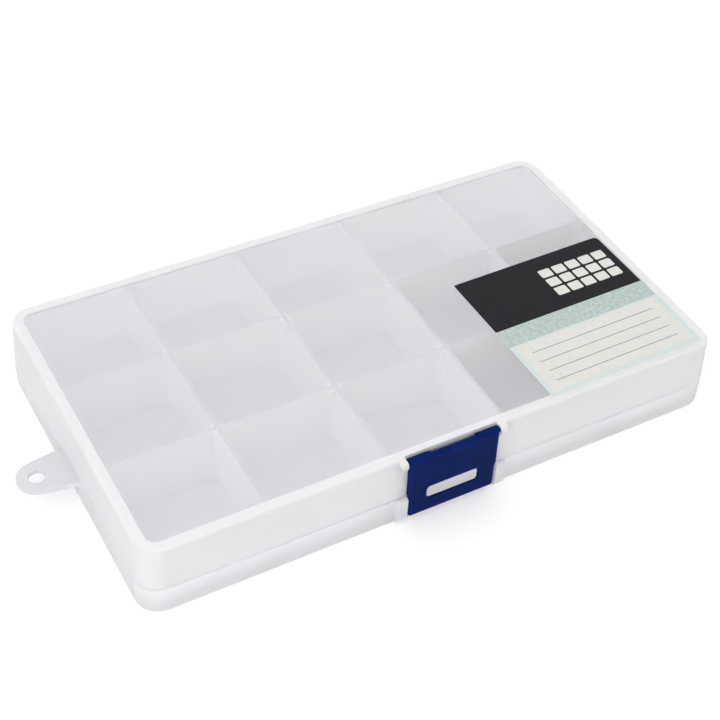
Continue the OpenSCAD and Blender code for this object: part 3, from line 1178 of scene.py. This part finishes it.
@dataclass
class Label(SubAssembly):
    """Film label on the lid: a clear margin round three printed blocks."""

    body: str = "lid"
    slot: str = "label_film"
    at: tuple = (58.4, -20.8)
    turn: float = 0.8
    size: tuple = (51.5, 51.0)
    film: float = 0.05
    ink: float = 0.02

    def block(
        self, centre: tuple, size: tuple, radius: float | list, low: float, high: float
    ) -> bpy.types.Object:
        """A thin block in the label's own plan, turned and moved to its place.

        Each point (u, v) goes to the label's place plus the point turned by the
        label's angle.

        Args:
            centre: Middle of the block from the label's middle.
            size: Its length and depth.
            radius: Its corner radius or radii.
            low: Its underside above the lid.
            high: Its top above the lid.

        Returns:
            The block.
        """
        drawn = round_rectangle(centre, *size, radius, 6)
        angle = math.radians(self.turn)
        spin = np.array([[math.cos(angle), math.sin(angle)], [-math.sin(angle), math.cos(angle)]])
        outline = Outline(drawn.points @ spin + self.at, drawn.normals @ spin)
        top = self.plan.height
        return pressed("label", outline, top + low, top + high, Axis.Z, 0.005)

    def lay(self, name: str, parts: list, ink: PrintedInk) -> None:
        """Joins blocks of one ink and finishes them as one piece."""
        self.finish(join(parts), name, ink.material(), ())

    def is_back(self, centre: np.ndarray, normal: np.ndarray) -> np.ndarray:
        """Which faces are the film's underside."""
        return normal[:, 2] < -0.5

    def build(self) -> None:
        """Lays the film and its printed blocks."""
        low, high = self.film, self.film + self.ink
        film = self.block((0, 0), self.size, 0.6, 0.004, low)
        self.finish(film, "label_film", LABEL_FILM.material(), ("label",))
        self.second_look(film, WHITE_BACKING.material(), self.is_back)
        black = self.block((0, 14.2), (51.3, 22.6), [0.2, 0.2, 1.4, 0.5], low, high)
        mint = self.block((0, -0.65), (51.3, 6.9), 0.2, low, high)
        white = self.block((0.0, -14.35), (48.0, 19.1), 0.3, low, high)
        self.lay("label_black", [black], BLACK_INK)
        self.lay("label_mint", [mint], MINT_INK)
        self.lay("label_white", [white], WHITE_INK)
        cells = [
            self.block((x, y), (4.0, 3.4), 0.5, high, high + self.ink)
            for x in np.arange(5) * 4.8 + 2.0
            for y in np.arange(3) * 4.2 + 9.8
        ]
        self.lay("label_cells", cells, WHITE_INK)
        rules = [
            self.block((0, y), (42.0, 0.28), 0.12, high, high + self.ink)
            for y in (-8.6, -12.6, -16.6, -20.6)
        ]
        self.lay("label_rules", rules, RULE_INK)


# ---------------------------------------------------------------- studio


@dataclass
class Studio:
    """White floor, even daylight, an overhead softbox and the photograph's camera."""

    sky: float = 0.7
    softbox_watts: float = 6.0
    key_watts: float = 5.2
    spark_watts: float = 0.15
    camera_at: tuple = (-162.76, -266.64, 309.14)
    camera_turn: tuple = (46.2092, -2.76857, -28.67947)
    lens: float = 75.1235

    def floor(self) -> None:
        """White floor just under the box, which keeps the box's shadow."""
        far, low = 4000.0, -0.1
        corners = [(-far, -far, low), (far, -far, low), (far, far, low), (-far, far, low)]
        obj = new_object("floor", np.array(corners), [[0, 1, 2, 3]])
        material = new_material("white_floor")
        tree = material.node_tree
        ray = add_node(tree, "ShaderNodeLightPath")
        seen = add_node(
            tree,
            "ShaderNodeMath",
            {0: ray.outputs["Is Camera Ray"], 1: ray.outputs["Is Glossy Ray"]},
            operation="MAXIMUM",
        )
        seen = add_node(
            tree,
            "ShaderNodeMath",
            {0: seen.outputs[0], 1: ray.outputs["Is Transmission Ray"]},
            operation="MAXIMUM",
        )
        glow = add_node(tree, "ShaderNodeMath", {0: seen.outputs[0], 1: 0.15}, operation="MULTIPLY")
        shader = add_node(
            tree,
            "ShaderNodeBsdfPrincipled",
            {
                "Base Color": (0.93, 0.93, 0.93, 1),
                "Roughness": 0.9,
                "Specular IOR Level": 0.0,
                "Emission Color": (1, 1, 1, 1),
                "Emission Strength": glow.outputs[0],
            },
        )
        add_node(tree, "ShaderNodeOutputMaterial", {"Surface": shader.outputs["BSDF"]})
        obj.data.materials.append(material)

    def daylight(self) -> None:
        """Even white light from all round."""
        world = bpy.data.worlds.new("daylight")
        bpy.context.scene.world = world
        world.use_nodes = True
        world.node_tree.nodes.clear()
        sky = add_node(
            world.node_tree, "ShaderNodeBackground", {"Color": (1, 1, 1, 1), "Strength": self.sky}
        )
        add_node(world.node_tree, "ShaderNodeOutputWorld", {"Surface": sky.outputs["Background"]})

    def lamp(self, name: str, at: tuple, size: float, watts: float) -> None:
        """A square area lamp that faces the box.

        Args:
            name: Its name.
            at: Its place in metres.
            size: Its side in metres.
            watts: Its power.
        """
        data = bpy.data.lights.new(name, "AREA")
        data.size, data.energy = size, watts
        obj = linked(name, data)
        obj.location = at
        obj.rotation_euler = Vector(at).to_track_quat("Z", "Y").to_euler()

    def camera(self) -> None:
        """Camera at the photograph's place and angle."""
        data = bpy.data.cameras.new("camera")
        data.sensor_width, data.lens, data.clip_start = 36.0, self.lens, 0.01
        obj = linked("camera", data)
        obj.location = [c * MM for c in self.camera_at]
        obj.rotation_euler = [math.radians(a) for a in self.camera_turn]
        bpy.context.scene.camera = obj

    def build(self) -> None:
        """Sets up floor, light and camera."""
        self.floor()
        self.daylight()
        self.lamp("softbox", (0.05, 0.1, 1.0), 2.4, self.softbox_watts)
        self.lamp("key", (-0.85, -0.75, 0.6), 1.0, self.key_watts)
        self.lamp("spark", (-0.6, -0.5, 0.9), 0.06, self.spark_watts)
        self.camera()
        scene = bpy.context.scene
        scene.view_settings.view_transform = "Standard"
        scene.cycles.blur_glossy = 0.0
        scene.cycles.max_bounces = 32
        scene.cycles.diffuse_bounces = 16
        scene.cycles.glossy_bounces = 12
        scene.cycles.transmission_bounces = 28
        LOG.info("studio ready")


def main() -> None:
    """Builds the box piece by piece, then the studio."""
    logging.basicConfig(level=logging.INFO, format="%(name)s: %(message)s")
    plan = Plan()
    Tray(plan).build()
    Dividers(plan).build()
    Lid(plan).build()
    Latch(plan).build()
    Label(plan).build()
    Studio().build()


if __name__ == "__main__":
    main()
